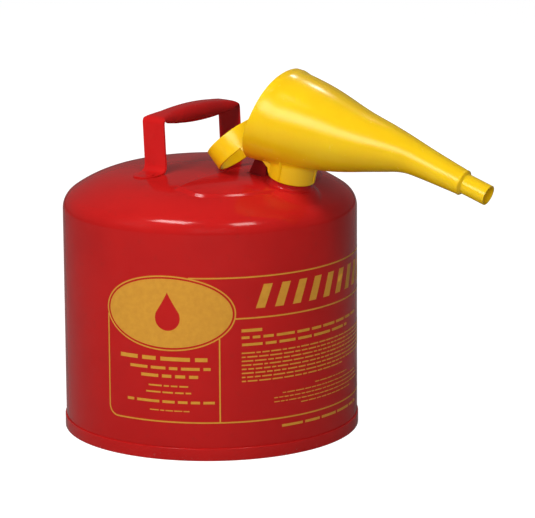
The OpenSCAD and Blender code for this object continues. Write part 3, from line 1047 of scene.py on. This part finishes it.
def make_panel():
    """The fine frame round the label, with its title band and the divider."""
    r, (middle, centre) = 11.0, OVAL_C
    border = [(PANEL_LEFT, centre - oval_rise(PANEL_LEFT - middle) - 0.4)]
    border += arc((PANEL_LEFT + r, PANEL_LOW + r), r, 180, 270, 8)
    border += arc((PANEL_RIGHT - r, PANEL_LOW + r), r, 270, 360, 8)
    border += arc((PANEL_RIGHT - r, PANEL_HIGH - r), r, 0, 90, 8)
    meet = middle + OVAL_W * math.sqrt(1 - ((PANEL_HIGH - centre) / OVAL_H) ** 2)
    border.append((meet, PANEL_HIGH))
    band = [(middle + OVAL_W * 0.99, TITLE_LOW), (PANEL_RIGHT, TITLE_LOW)]
    divider = [(DIVIDER, centre - oval_rise(DIVIDER - middle)), (DIVIDER, PANEL_LOW)]
    printed("label_frame", [ribbon(line, LINE) for line in (border, band, divider)])


def make_title():
    """Slanting safety bars along the title band."""
    low, high, lean, width, pitch = 161.5, 186.5, 9.0, 10.0, 21.4
    strips = []
    for k in range(11):
        x = 47 + pitch * k
        lines = [[(x + lean * t / 5 + across, low + (high - low) * t / 5) for t in range(6)]
                 for across in (0, width / 2, width)]
        strips += [lines[:2], lines[1:]]
    printed("label_title_bars", strips)


# (middle along the wall, height, length, bar height) of each row that stands in for print
PRINT_ROWS = {
    "label_left_rows": (
        (-49, 108.5, 104, 6.6), (-45, 98.5, 88, 4.8), (-45, 90, 62, 5.2), (-46, 79.5, 43, 2.6),
        (-46, 72.5, 49, 2.6), (-45, 62.5, 96, 4.4), (-45, 53, 43, 1.8)),
    "label_right_heads": ((47, 138.5, 31, 5.2), (120, 131, 177, 4.4), (106, 123.5, 148, 4.4)),
    "label_right_rows": (
        *((143, 114.5 - 4.3 * k, 223, 2.2) for k in range(7)), (100, 84.4, 137, 2.2),
        (150, 73, 60, 1.7), (142, 68, 130, 1.7), (142, 63.6, 150, 1.7), (142, 59.2, 150, 1.7),
        (146, 54.8, 92, 1.7)),
    "label_lower_row": ((143, 32.5, 134, 4.2),),
}


def make_print():
    """Rows of short bars, in word lengths, where the real can carries small print."""
    draw = random.Random(7)
    for name, rows in PRINT_ROWS.items():
        strips = []
        for middle, height, length, bar in rows:
            at, end = middle - length / 2, middle + length / 2
            while at < end - 1.2 * bar:
                word = min(end - at, bar * draw.uniform(1.6, 6.5))
                strips.append(ribbon([(at, height), (at + word, height)], 0.62 * bar))
                at += word + 0.8 * bar
        printed(name, strips)


# ---- carried-over CAD nodes

CAD_LOOKS = {
    "arrester_ring": ZINC, "arrester_inner_screen": SCREEN, "arrester_outer_screen": SCREEN,
    "arrester_cap": ZINC, "hinge_pin": ZINC, "pin_clips": SPRING,
    # The lid and its arm take the darker red, which is painted shade.
    "lid_disc": SHADED_RED, "lid_gasket": RUBBER, "gasket_plate": ZINC, "lid_rivet": ZINC,
    "lid_arm": SHADED_RED,
}


def dress_cad_nodes():
    """The small parts keep their CAD shape and take a detailed material."""
    for name, material in CAD_LOOKS.items():
        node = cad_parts[name]
        if not node.data.materials:
            node.data.materials.append(material)
        for index in range(len(node.material_slots)):
            node.material_slots[index].material = material


# ---- studio


def make_floor():
    """A pale floor that the can stands on, wide enough to fill the view."""
    look = Surface("pale_floor", specular_ior_level=0.1)
    look.tint(look.noise(400, 2), (0.27, 0.27, 0.27), (0.25, 0.25, 0.25))
    look.gloss(0.75, 0.9, 30, 3)
    half = 6000
    corners = [(-half, -half, 0), (half, -half, 0), (half, half, 0), (-half, half, 0)]
    floor = make_object("floor", corners, [(0, 1, 2, 3)])
    seen = look.node("LightPath").outputs["Is Camera Ray"]
    look.set("Emission Strength", look.between(seen, 0, 1, 0, 0.95))
    look.shader.inputs["Emission Color"].default_value = (1, 1, 1, 1)
    floor.data.materials.append(look.material)


VIEW_AZIMUTH = math.radians(42)
VIEW_RIGHT = Vector((math.cos(VIEW_AZIMUTH), math.sin(VIEW_AZIMUTH), 0))
VIEW_AHEAD = Vector((-math.sin(VIEW_AZIMUTH), math.cos(VIEW_AZIMUTH), 0))


def from_view(right, ahead, up):
    """A point or direction given to the right of, ahead of and above the can as it is viewed."""
    return right * VIEW_RIGHT + ahead * VIEW_AHEAD + Vector((0, 0, up))


def softbox(name, aim, width, height, power, kind):
    """A rectangular light. aim is a place, the way from it to the light, and the distance.

    kind is "soft" for light without a mirror image, "gloss" for only that, or "both".
    """
    mirror, direction, distance = aim
    light = bpy.data.lights.new(name, "AREA")
    light.shape = "RECTANGLE"
    light.size, light.size_y = width, height
    light.energy = power
    lamp = bpy.data.objects.new(name, light)
    lamp.visible_glossy = kind != "soft"
    lamp.visible_diffuse = kind != "gloss"
    towards = from_view(*direction).normalized()
    lamp.location = from_view(*mirror) + towards * distance
    lamp.rotation_euler = towards.to_track_quat("Z", "Y").to_euler()
    bpy.context.scene.collection.objects.link(lamp)
    return lamp


def only_on(lamp, pieces):
    """Keeps a light to some of the pieces."""
    group = bpy.data.collections.new(lamp.name + "_receivers")
    for piece in pieces:
        group.objects.link(piece)
    lamp.light_linking.receiver_collection = group


def make_studio(can, handle, funnel):
    """Two softboxes over the viewer make the dome's highlights, soft lights shape the can, and
    the handle and the funnel have lights of their own. The rest is dark but for the floor."""
    middle, top = (0, 0, 0.2), (0, 0, 0.3)
    over = (-0.35, -0.32, 0.88)
    dome_left = ((-0.039, -0.148, 0.253), over, 1.7)
    dome_right = ((0.033, -0.151, 0.25), (0.36, -0.55, 0.75), 1.9)
    sheen = ((0.1, -0.05, 0.35), (-0.50, -0.78, 0.37), 2.0)
    streak = ((0.055, -0.02, 0.385), (0.33, 0.36, 0.87), 0.5)
    for pieces, *light in (
        (can + handle, "key_left", dome_left, 0.70, 0.36, 12, "both"),
        (can, "key_right", dome_right, 0.50, 0.45, 8, "both"),
        (can, "glint_left", dome_left, 0.62, 0.32, 14, "gloss"),
        (can, "glint_right", dome_right, 0.42, 0.36, 9, "gloss"),
        (can + funnel, "soft_front", (middle, (0.0, -0.94, 0.34), 2.4), 1.4, 1.0, 25, "soft"),
        (can + funnel, "soft_left", (middle, (-0.785, -0.366, 0.5), 2.4), 1.2, 1.0, 20, "soft"),
        (handle, "soft_handle", (top, (-0.62, -0.69, 0.38), 2.0), 0.5, 0.4, 24, "soft"),
        (funnel, "funnel_sheen", sheen, 1.1, 0.75, 13, "gloss"),
        (funnel, "funnel_streak", streak, 0.05, 0.03, 0.3, "gloss"),
        (funnel, "funnel_top", (top, over, 1.7), 0.70, 0.36, 15, "soft"),
        (None, "soft_back", (middle, (0.35, 0.88, 0.32), 2.4), 1.4, 1.0, 12, "soft"),
    ):
        lamp = softbox(*light)
        if pieces:
            only_on(lamp, pieces)
    bpy.data.lights["key_right"].color = (1.0, 0.93, 0.86)
    world = bpy.data.worlds.new("studio")
    bpy.context.scene.world = world
    world.use_nodes = True
    nodes, links = world.node_tree.nodes, world.node_tree.links
    seen = nodes.new("ShaderNodeLightPath")
    spread = nodes.new("ShaderNodeMapRange")
    spread.inputs["To Min"].default_value = 0.12
    links.new(seen.outputs["Is Camera Ray"], spread.inputs["Value"])
    links.new(spread.outputs["Result"], nodes["Background"].inputs["Strength"])
    nodes["Background"].inputs["Color"].default_value = (1, 1, 1, 1)


def make_camera():
    """A long lens, a little above the can."""
    back, up = 3.5, 0.977
    turn, pitch, roll = math.radians(1.003), math.radians(12.838), math.radians(-0.335)
    camera = bpy.data.objects.new("camera", bpy.data.cameras.new("camera"))
    camera.data.sensor_width = 36
    camera.data.lens = 224.65
    aim = Matrix.Rotation(VIEW_AZIMUTH - turn, 4, "Z")
    aim = aim @ Matrix.Rotation(math.pi / 2 - pitch, 4, "X") @ Matrix.Rotation(roll, 4, "Z")
    camera.matrix_world = Matrix.Translation(from_view(0, -back, up)) @ aim
    bpy.context.scene.collection.objects.link(camera)
    bpy.context.scene.camera = camera


make_camera()
make_tank()
make_foot()
handle_pieces = make_handle()
make_neck()
make_bracket()
make_spring()
funnel_pieces = [make_funnel_shell(), make_collar(), make_hoop()]
make_badge()
make_panel()
make_title()
make_print()
dress_cad_nodes()
make_floor()
others = [obj for obj in bpy.data.objects if obj.type == "MESH"
          and obj not in funnel_pieces + handle_pieces]
make_studio(others, handle_pieces, funnel_pieces)
bpy.context.scene.view_settings.view_transform = "Standard"
